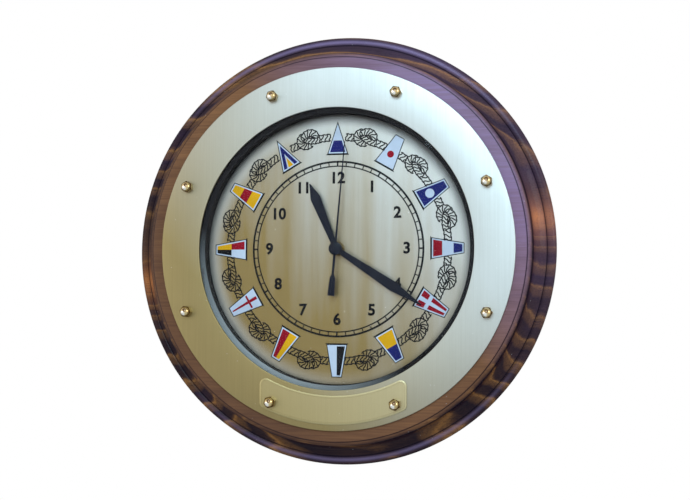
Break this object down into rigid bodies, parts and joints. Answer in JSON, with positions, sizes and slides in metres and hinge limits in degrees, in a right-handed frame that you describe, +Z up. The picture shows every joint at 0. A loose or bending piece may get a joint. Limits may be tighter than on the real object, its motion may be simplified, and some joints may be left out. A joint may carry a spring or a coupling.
{
  "type": "wall clock",
  "caption": "Round wall clock: turned dark wood case, bolted brass bezel ring, flat glass, brass dial, three hands on concentric shafts, battery movement with a setting knob behind.",
  "frame": {"origin": "on the axis of the hands, in the plane of the wall that the case's flat back rests on", "axes": "+Z up towards twelve o'clock, +Y into the wall along the hands' axis, -Y towards the reader, +X to the reader's right"},
  "size_m": [0.348, 0.0468, 0.348],
  "materials": {
    "walnut": "walnut stain under gloss varnish",
    "brass": "brushed brass",
    "nameplate_brass": "brushed brass",
    "polished_brass": "polished brass",
    "glass": "clear",
    "dial_brass": "brushed brass with printed marks",
    "zinc_steel": "zinc plated",
    "screw_brass": "brassed",
    "black_plastic": "moulded",
    "brass_turned": "turned brass",
    "rubber": "matte",
    "battery_sleeve": "printed sleeve",
    "contact_steel": "nickel plated spring steel",
    "arbor_steel": "polished",
    "white_plastic": "moulded",
    "knob_plastic": "moulded",
    "hand_paint": "near-black satin paint"
  },
  "bodies": {
    "clock": {"acorn_bolts": "polished_brass", "battery": "battery_sleeve", "bezel_ring": "brass", "brass_washer": "brass_turned", "dial_plate": "dial_brass", "glass": "glass", "hanger_plate": "zinc_steel", "hanger_screws": "screw_brass", "hex_nut": "brass_turned", "movement_case": "black_plastic", "movement_face": "black_plastic", "nameplate": "nameplate_brass", "negative_contact": "contact_steel", "positive_contact": "contact_steel", "rubber_washer": "rubber", "threaded_bushing": "brass_turned", "wood_case": "walnut"},
    "seconds": {"seconds_arbor": "arbor_steel", "second_hand": "hand_paint"},
    "minutes": {"cannon_pinion": "brass_turned", "minute_hand": "hand_paint"},
    "motion_work": {"motion_wheel": "white_plastic"},
    "hours": {"hour_wheel": "white_plastic", "hour_hand": "hand_paint"},
    "setting": {"setting_wheel": "white_plastic", "setting_knob": "knob_plastic"}
  },
  "joints": [
    {"name": "seconds_turn", "type": "hinge", "parent": "clock", "child": "seconds", "pos_m": [0, -0.031, 0], "axis": [0, 1, 0], "continuous": true},
    {"name": "minutes_turn", "type": "hinge", "parent": "clock", "child": "minutes", "pos_m": [0, -0.029, 0], "axis": [0, 1, 0], "continuous": true},
    {"name": "hours_turn", "type": "hinge", "parent": "clock", "child": "hours", "pos_m": [0, -0.027, 0], "axis": [0, 1, 0], "continuous": true},
    {"name": "motion_work_turn", "type": "hinge", "parent": "clock", "child": "motion_work", "pos_m": [0.00956, -0.0137, -0.00084], "axis": [0, 1, 0], "continuous": true},
    {"name": "setting_turn", "type": "hinge", "parent": "clock", "child": "setting", "pos_m": [0.01942, -0.0137, 0.0018], "axis": [0, 1, 0], "continuous": true}
  ],
  "couplings": [
    {"joint": "motion_work_turn", "follows": "minutes_turn", "ratio": -0.33333},
    {"joint": "hours_turn", "follows": "minutes_turn", "ratio": 0.083333},
    {"joint": "setting_turn", "follows": "minutes_turn", "ratio": 0.8}
  ]
}
